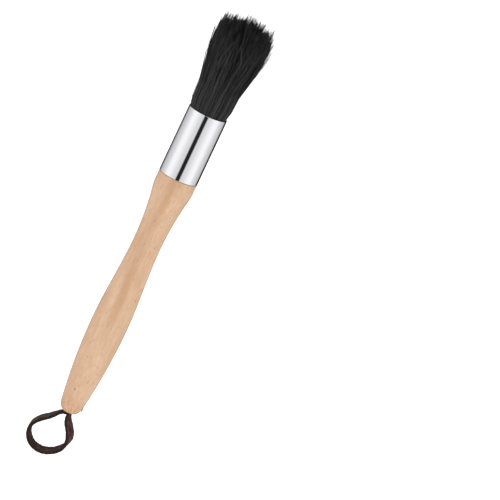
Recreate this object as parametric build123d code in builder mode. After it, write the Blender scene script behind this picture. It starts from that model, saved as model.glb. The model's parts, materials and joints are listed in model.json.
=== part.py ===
from build123d import *
import os
from math import cos, hypot, radians, sin, tan

# Neck duster brush, in millimetres: a turned beech handle, a plated ferrule glued on
# its tenon, a bundle of bristles potted in the ferrule with resin, and a leather
# hanging loop whose two tails are nailed into a bore in the handle's rounded end.
# +Z runs up the brush's axis to the bristles and +X to the right. The origin is on
# the axis, half way up the ferrule, where a tool clip grips the brush.

# Handle: heights are measured up from its rounded end
handle_length = 130.0  # rounded end to the ferrule's lower rim
end_radius = 5.8  # ball-nosed end
belly_radius = 9.1
belly_height = 50.0
waist_radius = 7.1
waist_height = 93.0
shoulder_height = 123.0
shoulder_blend = 15.0
shoulder_step = 0.05  # under the ferrule's surface, so that a sleeve slides past
tenon_length = 12.0
tenon_chamfer = 0.8

# Ferrule: a thin drawn tube
ferrule_diameter = 20.0
ferrule_length = 35.0
ferrule_wall = 0.5
rim_round = 0.2
glue_gap = 0.04

# Bristles and the resin that holds their roots
resin_length = 11.0
resin_floor = 3.0
resin_wall = 0.86  # round the roots
tuft_free_length = 49.5  # ferrule's upper rim to the crown of the tips
tuft_tip_radius = 14.3
tuft_crown = 4.5  # how far the crown stands above the outer tips
tuft_bulge = 0.5  # how far the flared side bows out from straight
tuft_edge_round = 2.0
tuft_gap = 0.1

# Leather strap
strap_width = 4.2
strap_thickness = 1.6
tail_length = 9.5
tail_gap = 0.1  # between the two tails
strap_clearance = 0.1  # bore wall to the tails' corners
bore_margin = 2.5  # past the tails' ends, to the drill's cone
bore_mouth_chamfer = 0.9
drill_point_angle = 118.0
loop_lean = 20.0  # degrees that the loop leans back from the handle's axis
hinge_drop = 0.6  # flexing line below the rounded end
hinge_gap = 0.3  # root of the loop to the ends of the tails

# Brad through the handle's wall and both tails
brad_diameter = 1.3
brad_height = 4.8  # above the rounded end
brad_reach = 4.0  # how far its point passes the axis
brad_head_diameter = 2.2
brad_head_height = 0.5
brad_head_sink = 0.25  # below the wood at the brad's height

# Derived heights on the axis, and shared sizes
ferrule_bottom = -ferrule_length / 2
ferrule_top = ferrule_length / 2
handle_end = ferrule_bottom - handle_length
ferrule_radius = ferrule_diameter / 2
ferrule_bore = ferrule_radius - ferrule_wall
shoulder_radius = ferrule_radius - shoulder_step
root_radius = ferrule_bore - glue_gap - resin_wall - tuft_gap
tenon_top = ferrule_bottom + tenon_length
resin_top = tenon_top + resin_length
root_bottom = tenon_top + resin_floor
tail_centre = (strap_thickness + tail_gap) / 2
bore_radius = hypot(tail_centre + strap_thickness / 2, strap_width / 2) + strap_clearance
root_barrel = strap_thickness  # radius of the loop's root, two thicknesses across
root_rise = root_barrel * cos(radians(loop_lean)) + strap_width / 2 * sin(radians(loop_lean))
hinge_z = handle_end - hinge_drop
tail_bottom = hinge_z + root_rise + hinge_gap
tail_top = tail_bottom + tail_length
bore_top = tail_top + bore_margin
brad_z = handle_end + brad_height

# The belly's arc is tangent to the ball end, which sets its radius and where they meet
belly_rise = belly_height - end_radius
belly_arc = (belly_radius**2 + belly_rise**2 - end_radius**2) / (2 * (belly_radius - end_radius))
meet = belly_arc / (belly_arc - end_radius)
meet_radius = (belly_radius - belly_arc) * (1 - meet)
meet_height = belly_height + (end_radius - belly_height) * meet
if brad_height < meet_height:
    brad_surface = (end_radius**2 - (end_radius - brad_height) ** 2) ** 0.5
else:
    brad_surface = belly_radius - belly_arc + (belly_arc**2 - (belly_height - brad_height) ** 2) ** 0.5
brad_seat = brad_surface - brad_head_sink

os.makedirs("parts", exist_ok=True)


def finish(part, label):
    """Names a finished piece and writes its STEP file."""
    part.label = label
    export_step(part, f"parts/{label}.step")


meet_z = handle_end + meet_height
belly_z = handle_end + belly_height
waist_z = handle_end + waist_height
curl = (waist_height - belly_height) / 3

with BuildPart() as handle:
    with BuildSketch(Plane.XZ) as outline:
        with BuildLine():
            TangentArc((0, handle_end), (meet_radius, meet_z), tangent=(1, 0))
            TangentArc((belly_radius, belly_z), (meet_radius, meet_z), tangent=(0, -1))
            Bezier(
                (belly_radius, belly_z),
                (belly_radius, belly_z + curl),
                (waist_radius, waist_z - curl),
                (waist_radius, waist_z),
            )
            shoulder = (shoulder_radius, handle_end + shoulder_height)
            TangentArc((waist_radius, waist_z), shoulder, tangent=(0, 1))
            Polyline(
                shoulder,
                (shoulder_radius, ferrule_bottom),
                (ferrule_bore - glue_gap, ferrule_bottom),
                (ferrule_bore - glue_gap, tenon_top),
                (0, tenon_top),
                (0, handle_end),
            )
        make_face()
        corner = outline.vertices().sort_by_distance(shoulder)[0]
        fillet(corner, shoulder_blend)
    revolve(axis=Axis.Z)
    tenon_edge = handle.edges().filter_by(GeomType.CIRCLE).group_by(Axis.Z)[-1]
    chamfer(tenon_edge, tenon_chamfer)
    # Bore for the strap's tails, from its eased mouth up to the drill's cone
    mouth_rise = end_radius - (end_radius**2 - bore_radius**2) ** 0.5
    with BuildSketch(Plane.XZ):
        with BuildLine():
            Polyline(
                (0, handle_end - 1),
                (bore_radius + 1 + bore_mouth_chamfer + mouth_rise, handle_end - 1),
                (bore_radius, handle_end + mouth_rise + bore_mouth_chamfer),
                (bore_radius, bore_top),
                (0, bore_top + bore_radius / tan(radians(drill_point_angle / 2))),
                close=True,
            )
        make_face()
    revolve(axis=Axis.Z, mode=Mode.SUBTRACT)
    with BuildSketch(Plane.YZ.offset(-brad_reach)):
        with Locations((0, brad_z)):
            Circle(brad_diameter / 2)
    extrude(amount=brad_reach + belly_radius, mode=Mode.SUBTRACT)
    with BuildSketch(Plane.YZ.offset(brad_seat)):
        with Locations((0, brad_z)):
            Circle(brad_head_diameter / 2)
    extrude(amount=belly_radius, mode=Mode.SUBTRACT)
finish(handle.part, "handle")

with BuildPart() as ferrule:
    with BuildSketch(Plane.XZ) as wall:
        with Locations((ferrule_radius - ferrule_wall / 2, 0)):
            Rectangle(ferrule_wall, ferrule_length)
        fillet(wall.vertices(), rim_round)
    revolve(axis=Axis.Z)
finish(ferrule.part, "ferrule")

# Resin cup: it seats on the tenon and its pocket holds the tied roots of the bristles
with BuildPart() as root_resin:
    with BuildSketch(Plane.XY.offset(tenon_top)):
        Circle(ferrule_bore - glue_gap)
    extrude(amount=resin_length)
    with BuildSketch(Plane.XY.offset(root_bottom)):
        Circle(root_radius + tuft_gap)
    extrude(amount=resin_length, mode=Mode.SUBTRACT)
finish(root_resin.part, "root_resin")

with BuildPart() as bristle_tuft:
    tuft_root = ferrule_bore - tuft_gap
    crown_z = ferrule_top + tuft_free_length
    tip_edge = (tuft_tip_radius, crown_z - tuft_crown)
    with BuildSketch(Plane.XZ) as bundle:
        with BuildLine():
            Polyline(
                (0, crown_z),
                (0, root_bottom),
                (root_radius, root_bottom),
                (root_radius, resin_top),
                (tuft_root, resin_top),
                (tuft_root, ferrule_top),
            )
            SagittaArc((tuft_root, ferrule_top), tip_edge, tuft_bulge)
            TangentArc((0, crown_z), tip_edge, tangent=(1, 0))
        make_face()
        corner = bundle.vertices().sort_by_distance(tip_edge)[0]
        fillet(corner, tuft_edge_round)
    revolve(axis=Axis.Z)
finish(bristle_tuft.part, "bristle_tuft")

# The strap's two tails lie flat against each other in the bore, pierced by the brad
with BuildPart() as strap_tails:
    with BuildSketch(Plane.XY.offset(tail_bottom)):
        with GridLocations(2 * tail_centre, 0, 2, 1):
            Rectangle(strap_thickness, strap_width)
    extrude(amount=tail_length)
    with BuildSketch(Plane.YZ.offset(-brad_reach)):
        with Locations((0, brad_z)):
            Circle(brad_diameter / 2)
    extrude(amount=2 * brad_reach, mode=Mode.SUBTRACT)
finish(strap_tails.part, "strap_tails")

# The loop lies in one plane through the bore's mouth, leaning back, with the strap's
# width across that plane. Its route is (right, down) in the plane, from the left tail
# round to the right one.
loop_axis = Vector(0, cos(radians(loop_lean)), sin(radians(loop_lean)))
loop_plane = Plane(origin=(0, 0, hinge_z), x_dir=(1, 0, 0), z_dir=loop_axis)
loop_route = [
    (-0.75, -0.45),
    (-3.0, 1.2),
    (-7.8, 6.2),
    (-12.6, 10.3),
    (-14.1, 15.0),
    (-13.2, 19.4),
    (-9.6, 23.7),
    (-4.4, 25.0),
    (1.0, 22.8),
    (4.8, 18.8),
    (6.3, 13.4),
    (5.2, 8.2),
    (2.2, 3.4),
    (0.75, -0.45),
]


def bend_radii(route):
    """The radius at each inner corner of a route: 0.45 of its shorter run over tan(turn / 2)."""
    points = [Vector(x, y) for x, y in route]
    radii = []
    for before, corner, after in zip(points, points[1:], points[2:]):
        run_in = corner - before
        run_out = after - corner
        shorter = min(run_in.length, run_out.length)
        radii.append(0.45 * shorter / tan(radians(run_in.get_angle(run_out)) / 2))
    return radii


radii = bend_radii(loop_route)
print("loop bend radii:", " ".join(f"{r:.1f}" for r in radii))

with BuildPart() as strap_loop:
    with BuildLine(loop_plane) as route:
        FilletPolyline(*loop_route, radius=radii)
    start = Plane(origin=route.line @ 0, x_dir=loop_axis, z_dir=route.line % 0)
    with BuildSketch(start):
        Rectangle(strap_width, strap_thickness)
    sweep()
    swept_volume = strap_loop.part.volume
    # Both ends run together at the bore's mouth, where the leather flexes
    with BuildSketch(loop_plane):
        Circle(root_barrel)
    extrude(amount=strap_width / 2, both=True)
finish(strap_loop.part, "strap_loop")
loop_length = route.wire().length
print(f"loop length: {loop_length:.2f}")
print(f"volume ratio: {swept_volume / (loop_length * strap_width * strap_thickness):.4f}")

# Brad driven in from the right until its head beds in the wood
with BuildPart() as strap_brad:
    with BuildSketch(Plane.YZ.offset(-brad_reach + brad_diameter / 2)):
        with Locations((0, brad_z)):
            Circle(brad_diameter / 2)
    extrude(amount=brad_reach - brad_diameter / 2 + brad_seat)
    tip = strap_brad.faces().sort_by(Axis.X)[0]
    extrude(tip, amount=brad_diameter / 2, taper=35)
    with BuildSketch(Plane.YZ.offset(brad_seat)):
        with Locations((0, brad_z)):
            Circle(brad_head_diameter / 2)
    extrude(amount=brad_head_height)
    crown = strap_brad.faces().sort_by(Axis.X)[-1]
    fillet(crown.edges(), 0.6 * brad_head_height)
finish(strap_brad.part, "strap_brad")
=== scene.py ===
import json
import math
import random

import bmesh
import bpy
from mathutils import Matrix, Vector, noise


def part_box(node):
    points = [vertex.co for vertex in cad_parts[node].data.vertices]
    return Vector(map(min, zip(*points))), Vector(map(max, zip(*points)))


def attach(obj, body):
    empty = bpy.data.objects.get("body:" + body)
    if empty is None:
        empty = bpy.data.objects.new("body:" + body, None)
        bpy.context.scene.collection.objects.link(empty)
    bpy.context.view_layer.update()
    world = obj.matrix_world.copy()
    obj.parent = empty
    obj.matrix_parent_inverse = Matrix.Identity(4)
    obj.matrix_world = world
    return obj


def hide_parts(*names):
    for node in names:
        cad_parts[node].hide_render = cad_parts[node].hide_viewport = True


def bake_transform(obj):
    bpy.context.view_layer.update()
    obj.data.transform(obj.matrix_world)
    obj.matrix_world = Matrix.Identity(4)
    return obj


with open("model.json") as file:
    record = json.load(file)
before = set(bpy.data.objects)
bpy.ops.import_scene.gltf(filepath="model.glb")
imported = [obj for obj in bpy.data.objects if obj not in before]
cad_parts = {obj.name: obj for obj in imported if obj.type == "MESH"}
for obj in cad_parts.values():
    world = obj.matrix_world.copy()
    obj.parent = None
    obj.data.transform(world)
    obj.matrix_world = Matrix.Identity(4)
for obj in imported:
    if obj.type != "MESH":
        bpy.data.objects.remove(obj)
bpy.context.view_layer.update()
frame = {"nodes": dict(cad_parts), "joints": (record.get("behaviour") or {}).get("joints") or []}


# Handle: turned from one piece of steamed beech, its grain along its length, sanded
# and waxed. The rounded end is bored for the strap and the other end is the tenon.
MM = 0.001
shoulder_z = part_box("ferrule")[0].z
wood_end_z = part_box("handle")[0].z
pith = Vector((6, 52, 0)) * MM  # the heart of the tree, far behind the handle
ring_wander = 9 * MM  # how far the rings are from true circles


def finish_of(name, colour, roughness, metallic=0.0):
    """A new material, with its node tree and its shader."""
    made = bpy.data.materials.new(name)
    made.use_nodes = True
    shader = made.node_tree.nodes["Principled BSDF"]
    shader.inputs["Base Color"].default_value = (*colour, 1)
    shader.inputs["Roughness"].default_value = roughness
    shader.inputs["Metallic"].default_value = metallic
    return made, made.node_tree, shader


def srgb(red, green, blue):
    """A colour as it is seen on a screen, 0 to 255, as the light that a shader works in."""
    shares = [c / 255 for c in (red, green, blue)]
    return tuple(c / 12.92 if c < 0.04045 else ((c + 0.055) / 1.055) ** 2.4 for c in shares)


def node(tree, kind, inputs=(), **settings):
    """A node of a tree, with its settings and its inputs as numbers, colours or links."""
    made = tree.nodes.new("ShaderNode" + kind)
    for name, value in settings.items():
        setattr(made, name, value)
    for name, value in dict(inputs).items():
        if isinstance(value, bpy.types.NodeSocket):
            tree.links.new(value, made.inputs[name])
        else:
            made.inputs[name].default_value = value
    return made


def stretched(tree, where, scale, centre=(0, 0, 0)):
    """Coordinates scaled by three numbers about a point."""
    placed = [-c * s for c, s in zip(centre, scale)]
    values = {"Vector": where, "Scale": scale, "Location": placed}
    return node(tree, "Mapping", values).outputs[0]


def mottle(tree, where, scale, detail, roughness=0.5):
    """Soft noise from 0 to 1, with so many spots to a metre: one number, or one to each axis."""
    if isinstance(scale, tuple):
        where, scale = stretched(tree, where, scale), 1.0
    values = {"Vector": where, "Scale": scale, "Detail": detail, "Roughness": roughness}
    return node(tree, "TexNoise", values).outputs["Fac"]


def between(tree, value, low, high, to_low=0.0, to_high=1.0):
    """A value taken from one range to another, and kept inside it."""
    values = {
        "Value": value,
        "From Min": low,
        "From Max": high,
        "To Min": to_low,
        "To Max": to_high,
    }
    return node(tree, "MapRange", values).outputs["Result"]


def calculated(tree, operation, first, second=0.0):
    """One sum of two values."""
    made = node(tree, "Math", operation=operation)
    for socket, value in enumerate((first, second)):
        if isinstance(value, bpy.types.NodeSocket):
            tree.links.new(value, made.inputs[socket])
        else:
            made.inputs[socket].default_value = value
    return made.outputs[0]


def mixed(tree, share, first, second):
    """Two colours mixed by a share, each one a link or three numbers."""
    made = node(tree, "Mix", {0: share}, data_type="RGBA")
    for socket, colour in ((6, first), (7, second)):
        if isinstance(colour, bpy.types.NodeSocket):
            tree.links.new(colour, made.inputs[socket])
        else:
            made.inputs[socket].default_value = (*colour, 1)
    return made.outputs[2]


def stained(tree, colour, pattern, limits, shares, stain):
    """A colour with a share of a stain, which follows a pattern between two limits."""
    return mixed(tree, between(tree, pattern, *limits, *shares), colour, stain)


def raised(tree, shader, height, depth, strength=1.0):
    """Bumps of a depth in metres, from a height of 0 to 1."""
    values = {"Height": height, "Distance": depth, "Strength": strength}
    bump = node(tree, "Bump", values)
    tree.links.new(bump.outputs["Normal"], shader.inputs["Normal"])


def dark_ring(tree, part, wander, streaks):
    """How much of the one dark ring down the front shows at a point of the wood."""
    # It leaves the middle at the waist and comes back to it at the ferrule
    bend = between(tree, part["Z"], -88 * MM, -52 * MM, 0.8 * MM, -2.3 * MM)
    back = between(tree, part["Z"], -50 * MM, -22 * MM, 0, 1.7 * MM)
    sway = between(tree, wander, 0.3, 0.7, -0.9 * MM, 0.9 * MM)
    bend = calculated(tree, "ADD", calculated(tree, "ADD", bend, back), sway)
    aside = calculated(tree, "ABSOLUTE", calculated(tree, "SUBTRACT", part["X"], bend))
    shown = between(tree, aside, 0.6 * MM, 3.6 * MM, 1, 0)
    fading = [
        between(tree, part["Y"], -5 * MM, -2 * MM, 1, 0),
        between(tree, part["Z"], -112 * MM, -84 * MM, 0, 0.75),
        between(tree, streaks, 0.25, 0.6, 0.6, 1),
    ]
    for share in fading:
        shown = calculated(tree, "MULTIPLY", shown, share)
    return shown


def beech():
    """Steamed beech: soft rings, one dark ring down the front, fibres, short ray flecks."""
    made, tree, shader = finish_of("beech", srgb(195, 162, 134), 0.5)
    where = node(tree, "TexCoord").outputs["Object"]
    part = node(tree, "SeparateXYZ", {"Vector": where}).outputs
    wander = mottle(tree, where, (60, 60, 14), 2.0)
    apart = stretched(tree, where, (1, 1, 0.02), pith)
    rings = node(tree, "VectorMath", {0: apart}, operation="LENGTH").outputs["Value"]
    rings = calculated(tree, "ADD", rings, calculated(tree, "MULTIPLY", wander, ring_wander))
    band = mottle(tree, node(tree, "CombineXYZ", {"X": rings}).outputs[0], 330, 2.0, 0.6)
    streaks = mottle(tree, where, (420, 420, 12), 3.0, 0.6)
    fibres = mottle(tree, where, (2600, 2600, 90), 3.0, 0.6)
    flecks = mottle(tree, where, (1500, 1500, 380), 1.5)
    pores = mottle(tree, stretched(tree, where, (850, 850, 300), (2, 3, 1)), 1.0, 1.0)
    patches = mottle(tree, where, (150, 150, 60), 3.0, 0.6)
    end_grain = mottle(tree, where, (900, 500, 500), 3.0, 0.6)

    light_wood = srgb(207, 173, 143)
    colour = stained(tree, light_wood, patches, (0.38, 0.62), (0, 1), srgb(197, 160, 127))
    colour = stained(tree, colour, band, (0.42, 0.66), (0, 0.5), srgb(183, 145, 113))
    colour = mixed(tree, dark_ring(tree, part, wander, streaks), colour, srgb(183, 141, 104))
    colour = stained(tree, colour, streaks, (0.5, 0.75), (0, 0.5), srgb(206, 175, 149))
    colour = stained(tree, colour, fibres, (0.45, 0.75), (0, 0.5), srgb(174, 136, 106))
    spots = between(tree, flecks, 0.63, 0.76, 0, 0.65)
    colour = mixed(tree, spots, colour, srgb(160, 117, 86))
    colour = stained(tree, colour, pores, (0.74, 0.79), (0, 0.75), srgb(126, 88, 66))

    # The rounded end shows darker end grain, and glue stains the wood at the ferrule
    tip = between(tree, part["Z"], wood_end_z + 3 * MM, wood_end_z + 9 * MM, 0.9, 0)
    tip = calculated(tree, "MULTIPLY", tip, between(tree, end_grain, 0.42, 0.62, 0.1, 1))
    colour = mixed(tree, tip, colour, srgb(184, 134, 94))
    joint = (shoulder_z - 5 * MM, shoulder_z)
    colour = stained(tree, colour, part["Z"], joint, (0, 0.3), srgb(178, 138, 108))
    # The thin dark seam just under the ferrule is a glue line deepened with painted shadow of the
    # gap there
    seam_with_shadow = (shoulder_z - 0.35 * MM, shoulder_z - 0.2 * MM)
    colour = stained(tree, colour, part["Z"], seam_with_shadow, (0, 0.55), srgb(92, 74, 60))

    tree.links.new(colour, shader.inputs["Base Color"])
    tree.links.new(between(tree, fibres, 0.3, 0.7, 0.46, 0.6), shader.inputs["Roughness"])
    shader.inputs["Specular IOR Level"].default_value = 0.35
    shader.inputs["Coat Weight"].default_value = 0.25
    shader.inputs["Coat Roughness"].default_value = 0.3
    grooves = calculated(tree, "SUBTRACT", 1.0, calculated(tree, "ADD", fibres, spots))
    raised(tree, shader, grooves, 0.05 * MM, 0.6)
    return made


def dress(name, material):
    """Gives a CAD node its finish."""
    piece = frame["nodes"][name]
    piece.data.materials.clear()
    piece.data.materials.append(material)


dress("handle", beech())


# Strap: one strip of oiled brown leather, folded in half. Its tails lie flat together
# in the handle's bore, and the rest hangs out of the mouth as an open loop.
strap_width = 4.2 * MM
strap_thickness = 1.6 * MM
strap_swell = 1.14  # of the free leather, over its size where the bore pinches it
strap_unevenness = 0.10  # share of its size
strap_squareness = 6.0  # power of the rounded section, where 2 would be an ellipse
strap_sides = 24
hinge_z = frame["joints"][0]["pos_m"][2]
tail_x = 0.85 * MM
tail_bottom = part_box("strap_tails")[0].z
tail_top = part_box("strap_tails")[1].z
loop_lean = math.radians(20)
loop_normal = Vector((0, math.cos(loop_lean), math.sin(loop_lean)))
loop_route = [  # millimetres right and down in the loop's own plane
    (-0.75, -0.6),
    (-2.5, -0.9),
    (-7.0, 4.7),
    (-11.6, 8.8),
    (-14.3, 13.8),
    (-13.6, 19.2),
    (-10.2, 23.9),
    (-4.5, 25.4),
    (0.9, 23.1),
    (5.0, 18.6),
    (6.4, 13.2),
    (4.7, 8.0),
    (1.5, 3.2),
    (0.75, -0.6),
]
strap_twists = [  # share of the strap's line, degrees: its right side turns its face forward
    (0.00, 0),
    (0.30, 0),
    (0.46, 5),
    (0.63, 5),
    (0.75, -29),
    (0.83, -27),
    (0.91, -16),
    (0.96, 0),
    (1.00, 0),
]
shaded_loop_foot = 0.44  # share of the strap's line, at the loop's foot, whose inside is darkened by painted shade


def in_loop_plane(right, down):
    """A point of the loop's leaning plane, in the brush's frame."""
    point = Vector((right, down * math.sin(loop_lean), -down * math.cos(loop_lean)))
    return point * MM + Vector((0, 0, hinge_z))


def smooth_line(points):
    """Points along a smooth spline that runs from the first point to the last."""
    curve = bpy.data.curves.new("line", "CURVE")
    curve.dimensions = "3D"
    spline = curve.splines.new("NURBS")
    spline.points.add(len(points) - 1)
    for spot, point in zip(spline.points, points):
        spot.co = (*point, 1)
    spline.order_u = 3
    spline.use_endpoint_u = True
    spline.resolution_u = 12
    holder = bpy.data.objects.new("line", curve)
    line = bpy.data.meshes.new_from_object(holder)
    found = [vert.co.copy() for vert in line.vertices]
    bpy.data.objects.remove(holder)
    bpy.data.curves.remove(curve)
    bpy.data.meshes.remove(line)
    return found


left_tail = [Vector((-tail_x, 0, tail_top)), Vector((-tail_x, 0, tail_bottom))]
right_tail = [Vector((tail_x, 0, tail_bottom)), Vector((tail_x, 0, tail_top))]
strap_line = smooth_line(left_tail + [in_loop_plane(*p) for p in loop_route] + right_tail)


def eased(value, low, high):
    """0 below low, 1 above high, and a smooth step between them."""
    share = min(1.0, max(0.0, (value - low) / (high - low)))
    return share * share * (3 - 2 * share)


def twist_at(share):
    """The strap's twist in radians at a share of its line."""
    stops = zip(strap_twists, strap_twists[1:])
    (low, before), (high, after) = next(pair for pair in stops if share <= pair[1][0])
    return math.radians(before + (after - before) * eased(share, low, high))


def strap_facing(index):
    """The ways of the strap's thickness and width at a point of its line, as long as its swell."""
    last = len(strap_line) - 1
    point = strap_line[index]
    tangent = (strap_line[min(index + 1, last)] - strap_line[max(index - 1, 0)]).normalized()
    hang = eased(hinge_z - point.z, -2 * MM, 6 * MM)
    width_way = Vector((0, 1, 0)).lerp(loop_normal, hang)
    width_way = Matrix.Rotation(twist_at(index / last), 3, tangent) @ width_way
    width_way = (width_way - tangent * width_way.dot(tangent)).normalized()
    swell = 1 + (strap_swell - 1) * hang
    return width_way.cross(tangent) * swell, width_way * swell


def rounded(angle):
    """The strap's section as shares of its half thickness and half width."""
    power = 2 / strap_squareness
    c, s = math.cos(angle), math.sin(angle)
    return math.copysign(abs(c) ** power, c), math.copysign(abs(s) ** power, s)


def link_mesh(name, bm, smooth=True):
    """Makes a mesh object of a bmesh, with its place in the mesh."""
    mesh = bpy.data.meshes.new(name)
    bm.to_mesh(mesh)
    bm.free()
    if smooth:
        mesh.shade_smooth()
    piece = bpy.data.objects.new(name, mesh)
    bpy.context.scene.collection.objects.link(piece)
    return piece


# The strip is a grid rolled round its section: X of the grid goes round, Y along
strap_bm = bmesh.new()
strap_bm.loops.layers.uv.new("UVMap")
bmesh.ops.create_grid(
    strap_bm, x_segments=strap_sides, y_segments=len(strap_line) - 1, size=1, calc_uvs=True
)
for vert in strap_bm.verts:
    index = round((vert.co.y + 1) / 2 * (len(strap_line) - 1))
    thick, wide = rounded(math.pi * (vert.co.x + 1))
    waves = noise.noise(Vector((2 * thick, 2 * wide, 0.35 * index)))
    wear_and_painted_light = 1 + strap_unevenness * waves
    thick_way, width_way = strap_facing(index)
    vert.co = (
        strap_line[index]
        + thick_way * thick * wear_and_painted_light * strap_thickness / 2
        + width_way * wide * wear_and_painted_light * strap_width / 2
    )
bmesh.ops.remove_doubles(strap_bm, verts=strap_bm.verts, dist=0.001 * MM)
bmesh.ops.holes_fill(strap_bm, edges=strap_bm.edges, sides=strap_sides)
bmesh.ops.recalc_face_normals(strap_bm, faces=strap_bm.faces)
strap = link_mesh("strap", strap_bm)


def leather():
    """Oiled brown leather: long fibres, olive grain side, red flesh side, painted shade on cut
    edges and loop foot.
    """
    made, tree, shader = finish_of("leather", srgb(56, 42, 40), 0.7)
    coordinates = node(tree, "TexCoord").outputs
    turns = node(tree, "SeparateXYZ", {"Vector": coordinates["UV"]}).outputs
    fibres = mottle(tree, coordinates["UV"], (26, 30, 1), 4.0, 0.6)
    patches = mottle(tree, coordinates["UV"], (2.5, 9, 1), 2.0)
    smears = mottle(tree, coordinates["UV"], (10, 17, 1), 3.0)
    grain = mottle(tree, coordinates["Object"], 3200, 3.0, 0.6)

    olive, red = srgb(78, 62, 51), srgb(74, 44, 44)
    along = calculated(tree, "ADD", turns["Y"], calculated(tree, "MULTIPLY", patches, 0.5))
    colour = stained(tree, olive, along, (0.55, 0.95), (0, 1), red)
    # Painted shade darkens the inside of the loop's foot
    past_shaded_foot = calculated(tree, "SUBTRACT", turns["Y"], shaded_loop_foot)
    off_shaded_foot = calculated(tree, "ABSOLUTE", past_shaded_foot)
    colour = stained(tree, colour, off_shaded_foot, (0.03, 0.15), (0.5, 0), srgb(36, 24, 25))
    colour = stained(tree, colour, smears, (0.52, 0.64), (0, 0.6), srgb(98, 74, 62))
    colour = stained(tree, colour, smears, (0.38, 0.47), (0.6, 0), srgb(32, 23, 24))

    # The two cut edges are a quarter and three quarters of a turn round the section, and are
    # darkened there by painted shade
    past_shaded_edge = calculated(tree, "SUBTRACT", turns["X"], 0.25)
    off_shaded_edge = calculated(tree, "PINGPONG", past_shaded_edge, 0.25)
    colour = stained(tree, colour, off_shaded_edge, (0.09, 0.15), (0.85, 0), srgb(27, 19, 20))
    colour = stained(tree, colour, fibres, (0.35, 0.6), (0.8, 0), srgb(30, 21, 22))
    colour = stained(tree, colour, grain, (0.55, 0.75), (0, 0.35), srgb(108, 84, 70))

    tree.links.new(colour, shader.inputs["Base Color"])
    tree.links.new(between(tree, grain, 0.3, 0.7, 0.62, 0.82), shader.inputs["Roughness"])
    shader.inputs["Specular IOR Level"].default_value = 0.12
    height = calculated(tree, "ADD", calculated(tree, "MULTIPLY", fibres, 0.6), grain)
    raised(tree, shader, height, 0.10 * MM)
    return made


strap.data.materials.append(leather())
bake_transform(strap)
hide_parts("strap_tails", "strap_loop")
[tuple(p) for p in strap_line]


# Brad: a small domed steel nail, driven in from the right through the wood and both
# tails until its head beds in. Handling has browned the head.
def browned_steel():
    """Dull steel with brown stains."""
    made, tree, shader = finish_of("browned_steel", srgb(120, 108, 104), 0.38, 1.0)
    where = node(tree, "TexCoord").outputs["Object"]
    stain = mottle(tree, where, 1400, 4.0, 0.65)
    colour = stained(tree, srgb(104, 88, 80), stain, (0.4, 0.65), (0, 1), srgb(48, 34, 29))
    tree.links.new(colour, shader.inputs["Base Color"])
    tree.links.new(between(tree, stain, 0.35, 0.7, 0.3, 0.6), shader.inputs["Roughness"])
    raised(tree, shader, stain, 0.03 * MM)
    return made


dress("strap_brad", browned_steel())


# Ferrule: a drawn brass tube, nickel and chrome plated, pressed and glued over the
# tenon and the bristles' roots. Its rims are turned smooth.
def plated_metal():
    """Bright plate with faint rubbing marks round it."""
    made, tree, shader = finish_of("plated_metal", srgb(240, 240, 243), 0.07, 1.0)
    where = node(tree, "TexCoord").outputs["Object"]
    rubbed = mottle(tree, where, (160, 160, 2600), 3.0, 0.6)
    haze = mottle(tree, where, 260, 3.0, 0.6)
    marks = calculated(tree, "MULTIPLY", between(tree, rubbed, 0.4, 0.75), 0.035)
    rough = calculated(tree, "ADD", marks, between(tree, haze, 0.35, 0.7, 0.05, 0.085))
    tree.links.new(rough, shader.inputs["Roughness"])
    raised(tree, shader, rubbed, 0.002 * MM, 0.3)
    return made


dress("ferrule", plated_metal())


# Resin: the two-part glue that holds the tied bristle roots in the ferrule. It is
# poured in round them and sets amber.
def amber_resin():
    """Amber glue, a little cloudy."""
    made, tree, shader = finish_of("amber_resin", srgb(150, 92, 34), 0.25)
    where = node(tree, "TexCoord").outputs["Object"]
    cloud = mottle(tree, where, 500, 3.0)
    colour = stained(tree, srgb(158, 98, 36), cloud, (0.4, 0.65), (0, 1), srgb(112, 66, 26))
    tree.links.new(colour, shader.inputs["Base Color"])
    raised(tree, shader, cloud, 0.05 * MM, 0.4)
    return made


dress("root_resin", amber_resin())


# Bristles: soft black bristle, set as one bundle and flared by the packing at the root.
# They cling in pointed locks of uneven length, shared out over three bundles. Some have
# worked loose at the two sides, and some lie slanting over the outside.
rim_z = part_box("ferrule")[1].z
root_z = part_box("bristle_tuft")[0].z
crown_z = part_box("bristle_tuft")[1].z
root_radius = 8.3 * MM
rim_radius = 9.25 * MM
tip_radius = 13.7 * MM
bundle_sway = Vector((0.4, 0, 0)) * MM  # of the tips, to the right
crown_drop = 2.9 * MM  # from the crown's middle to its edge
crown_waviness = 1.2 * MM
crown_waves = 5.0  # to a radius of the bundle
crown_layer = Vector((9, 3, 5))  # where the waves are cut out of the noise
cut_back = 4.4 * MM  # the shortest locks, under the crown
ragged = 1.8 * MM  # how fast the longer ones thin out above the cut
bristle_thickness = 0.30 * MM
bristles_in_lock = 7
locks_in_bundle = 400
lock_cling = 0.8 * MM  # how far neighbours pull each other aside
cling_waves = 6.5
cling_layers = (2.6, 7.4)  # where the pulls to the right and to the back are cut out
lock_lean = 0.9 * MM
stray_lean = 0.4 * MM  # of one bristle's tip, out of its lock
shortest_bristle = 4.5 * MM  # below the longest one of its lock
loose_bristles = 90
loose_ring = 0.97  # share of the bundle's radius
loose_spread = 0.6  # radians round from the left or the right side
loose_lean = (0.3 * MM, 3.0 * MM)
loose_tone_and_sheen = 0.2
crossing_bristles = 220
crossing_ring = 0.99
crossing_slant = 3.0 * MM
crossing_lift = 0.4 * MM
bristle_stops = [  # share of the length, share of the flare, spread of a lock
    (0.00, 0.00, 0.10 * MM),
    (0.12, 0.22, 0.16 * MM),
    (0.35, 0.30, 0.20 * MM),
    (0.62, 0.68, 0.20 * MM),
    (0.82, 0.92, 0.18 * MM),
    (1.00, 0.88, 0.11 * MM),
]
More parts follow.
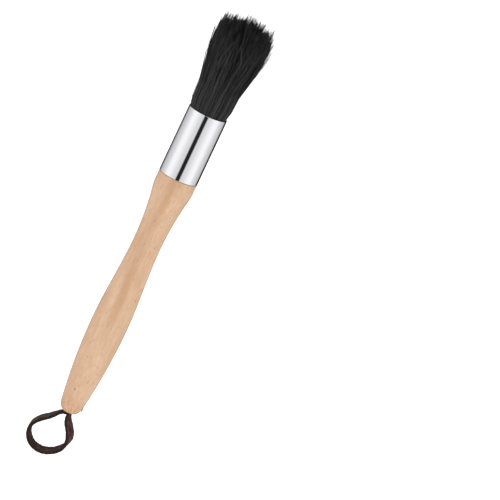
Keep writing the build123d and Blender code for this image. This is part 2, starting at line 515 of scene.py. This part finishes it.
draw = random.Random(3)


def scattered(spread):
    """A small random step to the side."""
    return Vector((draw.gauss(0, spread), draw.gauss(0, spread), 0))


def on_ring(angle, share):
    """A place across the bundle, as shares of its radius."""
    return Vector((math.cos(angle), math.sin(angle), 0)) * share


def bristle_path(middle, length, aside, lean):
    """A bristle from its root up, in a lock whose middle is given as a share of the radius."""
    points = []
    spots = [middle * cling_waves + Vector((0, 0, layer)) for layer in cling_layers]
    pulls = [noise.noise(spot) for spot in spots]
    cling = Vector((*pulls, 0)) * lock_cling
    for t, flare, spread in bristle_stops:
        point = middle * (rim_radius + (tip_radius - rim_radius) * flare)
        point += cling * t**1.5 + bundle_sway * t**2 + lean * t**3 + aside * spread
        points.append(point + Vector((0, 0, rim_z + length * t)))
    root = points[0] * (root_radius / rim_radius)
    root.z = root_z
    return [root] + points


def lock_length(middle):
    """How far a lock reaches above the rim."""
    length = crown_z - rim_z - crown_drop * middle.length_squared - cut_back
    length += noise.noise(middle * crown_waves + crown_layer) * crown_waviness
    return length + min(draw.expovariate(1 / ragged), 4 * ragged)


def lock_paths(inner, outer):
    """The bristles of one lock, somewhere between two shares of the radius, and their tone, partly
    painted sheen.
    """
    share = math.sqrt(draw.uniform(inner**2, outer**2))
    middle = on_ring(draw.uniform(0, 2 * math.pi), share)
    length = lock_length(middle)
    lean = scattered(lock_lean)
    # The lock's lighter tone is partly its own charcoal and partly painted sheen
    tone_and_sheen = draw.random() ** 3
    for _ in range(bristles_in_lock):
        shorter = shortest_bristle * draw.random() ** 2
        stray = scattered(stray_lean)
        yield bristle_path(middle, length - shorter, scattered(1), lean + stray), tone_and_sheen


def locks(inner, outer):
    """All the bristles of a ring of the bundle."""
    for _ in range(locks_in_bundle):
        yield from lock_paths(inner, outer)


def loose_paths():
    """Single bristles that stand out of the bundle's left and right sides."""
    for _ in range(loose_bristles):
        side = draw.choice((0, 0, math.pi))
        middle = on_ring(side + draw.gauss(0, loose_spread), loose_ring)
        length = lock_length(middle) * draw.uniform(0.75, 1.0)
        lean = middle * draw.uniform(*loose_lean) + scattered(0.6 * MM)
        yield bristle_path(middle, length, scattered(1), lean), loose_tone_and_sheen


def crossing_paths():
    """Single greyer bristles over the outside of the bundle at a slight slant, their grey partly
    painted sheen.
    """
    for _ in range(crossing_bristles):
        middle = on_ring(draw.uniform(0, 2 * math.pi), crossing_ring)
        slant = Vector((-middle.y, middle.x, 0)) * draw.gauss(0, crossing_slant)
        length = lock_length(middle) * draw.uniform(0.8, 1.0)
        path = bristle_path(middle, length, scattered(1), slant + middle * crossing_lift)
        yield path, draw.uniform(0.3, 1.3)


def bristle_bundle(name, paths):
    """A bundle of tapered bristles, each one thin spline of a single curve, made a mesh."""
    curve = bpy.data.curves.new(name, "CURVE")
    curve.dimensions = "3D"
    curve.bevel_depth = bristle_thickness / 2
    curve.bevel_resolution = 0
    curve.use_fill_caps = True
    tones_and_sheen = []
    for points, tone_and_sheen in paths:
        spline = curve.splines.new("POLY")
        spline.points.add(len(points) - 1)
        thickness = draw.uniform(0.75, 1.15)
        for i, (spot, point) in enumerate(zip(spline.points, points)):
            spot.co = (*point, 1)
            spot.radius = thickness * (1 - 0.5 * (i / (len(points) - 1)) ** 3)
        tones_and_sheen.append(min(1.0, 0.75 * tone_and_sheen + 0.35 * draw.random() ** 3))
    holder = bpy.data.objects.new(name, curve)
    mesh = bpy.data.meshes.new_from_object(holder)
    bpy.data.objects.remove(holder)
    bpy.data.curves.remove(curve)
    each = len(mesh.vertices) // len(tones_and_sheen)
    shading = mesh.attributes.new("tone_and_sheen", "FLOAT", "POINT")
    shading.data.foreach_set("value", [tone_and_sheen for tone_and_sheen in tones_and_sheen for _ in range(each)])
    mesh.name = name
    mesh.shade_smooth()
    piece = bpy.data.objects.new(name, mesh)
    bpy.context.scene.collection.objects.link(piece)
    return piece


def black_bristle():
    """Black bristle, jet to charcoal lock by lock with painted sheen in the lighter locks, and a
    dull shine.
    """
    made, tree, shader = finish_of("black_bristle", srgb(24, 24, 25), 0.45)
    where = node(tree, "TexCoord").outputs["Object"]
    height = node(tree, "SeparateXYZ", {"Vector": where}).outputs["Z"]
    tone_and_sheen = node(tree, "Attribute", attribute_name="tone_and_sheen").outputs["Fac"]
    # Painted light: the bristles are lightened a little just above the ferrule's rim
    wear_and_painted_light = between(tree, height, rim_z, rim_z + 16 * MM, 0.05, 0)
    grey = calculated(tree, "ADD", tone_and_sheen, wear_and_painted_light)
    colour = stained(tree, srgb(12, 12, 13), grey, (0, 1), (0, 1), srgb(61, 60, 61))
    tree.links.new(colour, shader.inputs["Base Color"])
    tree.links.new(between(tree, tone_and_sheen, 0, 1, 0.4, 0.5), shader.inputs["Roughness"])
    shader.inputs["Specular IOR Level"].default_value = 0.32
    return made


bristle_finish = black_bristle()
bundles = [
    bristle_bundle("bristles_core", locks(0.0, 0.62)),
    bristle_bundle("bristles_middle", locks(0.62, 0.86)),
    bristle_bundle("bristles_outer", locks(0.86, 0.97)),
    bristle_bundle("bristles_loose", loose_paths()),
    bristle_bundle("bristles_crossing", crossing_paths()),
]
for bundle in bundles:
    bundle.data.materials.append(bristle_finish)
    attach(bundle, "brush")
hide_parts("bristle_tuft")


# Floor: a wide pale sheet well below the brush. It glows a little, so that it stays
# as pale as the room, and mirrors don't pick it up.
floor_z = -0.6
floor_bm = bmesh.new()
bmesh.ops.create_grid(floor_bm, x_segments=8, y_segments=8, size=12)
bmesh.ops.translate(floor_bm, verts=floor_bm.verts, vec=(0, 0, floor_z))
floor = link_mesh("floor", floor_bm, smooth=False)
pale_floor, _, floor_shader = finish_of("pale_floor", (0.92, 0.92, 0.92), 0.8)
floor_shader.inputs["Emission Color"].default_value = (1, 1, 1, 1)
floor_shader.inputs["Emission Strength"].default_value = 0.4
floor.data.materials.append(pale_floor)
floor.visible_glossy = False


# Light: a white room all round, a large soft lamp above on the left and a weaker one
# on the right. Mirrors also see its grey panels, and a black flag before and behind.
panel_middle = math.radians(2.2)  # to the right of the front
panel_light = [  # degrees from the middle to either side, brightness
    (0, 0.018),
    (8.5, 0.018),
    (14.8, 0.78),
    (28, 0.80),
    (48, 0.99),
    (60, 1.08),
    (74, 1.06),
    (95, 0.78),
    (116, 0.64),
    (128, 0.57),
    (141, 0.25),
    (150, 0.05),
    (180, 0.05),
]
right_flag_start = math.radians(130)
right_flag_full = math.radians(141)
world = bpy.data.worlds.new("studio")
world.use_nodes = True
bpy.context.scene.world = world
sky = world.node_tree
sky.nodes.clear()
way = node(sky, "SeparateXYZ", {"Vector": node(sky, "TexCoord").outputs["Generated"]})
to_front = calculated(sky, "MULTIPLY", way.outputs["Y"], -1)
turn = calculated(sky, "ARCTAN2", way.outputs["X"], to_front)
off_middle = calculated(sky, "ABSOLUTE", calculated(sky, "SUBTRACT", turn, panel_middle))
panels = node(sky, "ValToRGB", {"Fac": between(sky, off_middle, 0, math.pi)})
ramp = panels.color_ramp
while len(ramp.elements) < len(panel_light):
    ramp.elements.new(1.0)
for element, (degrees, light) in zip(ramp.elements, panel_light):
    element.position = degrees / 180
    element.color = (light, light, light, 1)
right_flag = between(sky, turn, right_flag_start, right_flag_full, 1.0, 0.12)
plain = node(sky, "Background", {"Color": (1, 1, 1, 1), "Strength": 1.0}).outputs[0]
mirrored = node(sky, "Background", {"Color": panels.outputs[0], "Strength": right_flag})
in_mirror = node(sky, "LightPath").outputs["Is Glossy Ray"]
chosen = node(sky, "MixShader", {0: in_mirror, 1: plain, 2: mirrored.outputs[0]})
node(sky, "OutputWorld", {"Surface": chosen.outputs[0]})


def soft_lamp(name, place, size, power):
    """A square soft lamp that faces the middle of the brush."""
    data = bpy.data.lights.new(name, "AREA")
    data.size = size
    data.energy = power
    lamp = bpy.data.objects.new(name, data)
    facing = Vector(place).to_track_quat("Z", "Y").to_matrix().to_4x4()
    lamp.matrix_world = Matrix.Translation(place) @ facing
    lamp.visible_glossy = False
    bpy.context.scene.collection.objects.link(lamp)


soft_lamp("key_lamp", (-1.1, -1.2, 1.3), 0.9, 5)
soft_lamp("fill_lamp", (1.4, -1.0, 0.5), 1.0, 4)
bpy.context.scene.view_settings.view_transform = "Standard"


# Camera: a long lens twelve degrees above the brush, turned on its own axis so that
# the brush leans to the right. It looks at a point beside the waist of the handle.
camera_rise = math.radians(12)
camera_turn = math.radians(25.2)
camera_distance = 5.0
field_width = 242.6 * MM
look_at = Vector((46.55, 0, -35.2)) * MM
to_camera = Vector((0, -math.cos(camera_rise), math.sin(camera_rise)))
level = Vector((1, 0, 0))
along_brush = to_camera.cross(level)
picture_right = level * math.cos(camera_turn) + along_brush * math.sin(camera_turn)
picture_up = to_camera.cross(picture_right)
camera_data = bpy.data.cameras.new("camera")
camera_data.sensor_width = 36
camera_data.lens = camera_data.sensor_width * camera_distance / field_width
camera_data.clip_end = 30
camera = bpy.data.objects.new("camera", camera_data)
camera_facing = Matrix((picture_right, picture_up, to_camera)).transposed().to_4x4()
camera.matrix_world = Matrix.Translation(look_at + to_camera * camera_distance) @ camera_facing
bpy.context.scene.collection.objects.link(camera)
bpy.context.scene.camera = camera
